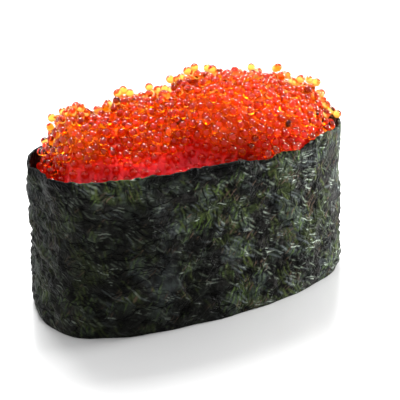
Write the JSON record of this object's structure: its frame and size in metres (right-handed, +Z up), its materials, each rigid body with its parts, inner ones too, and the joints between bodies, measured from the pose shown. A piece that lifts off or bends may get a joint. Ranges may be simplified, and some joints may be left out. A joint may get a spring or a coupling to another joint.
{
  "type": "gunkan sushi",
  "caption": "Gunkan sushi: an upright oval band of nori round a bed of pressed rice, heaped above its edge with small orange fish roe.",
  "frame": {"origin": "middle of the base, on the surface the piece stands on", "axes": "+X along the band's length, +Z up, -Y towards the front, the side with the higher edge of nori"},
  "size_m": [0.0554, 0.029, 0.0383],
  "materials": {
    "nori": "dark green-black pressed seaweed with fine fibres, faint gloss",
    "rice": "cooked white rice grains, moist, slightly translucent",
    "roe": "wet translucent orange-red fish eggs, glossy"
  },
  "bodies": {
    "root": {"nori_band": "nori", "rice_bed": "rice", "roe_heap": "roe"}
  },
  "joints": []
}
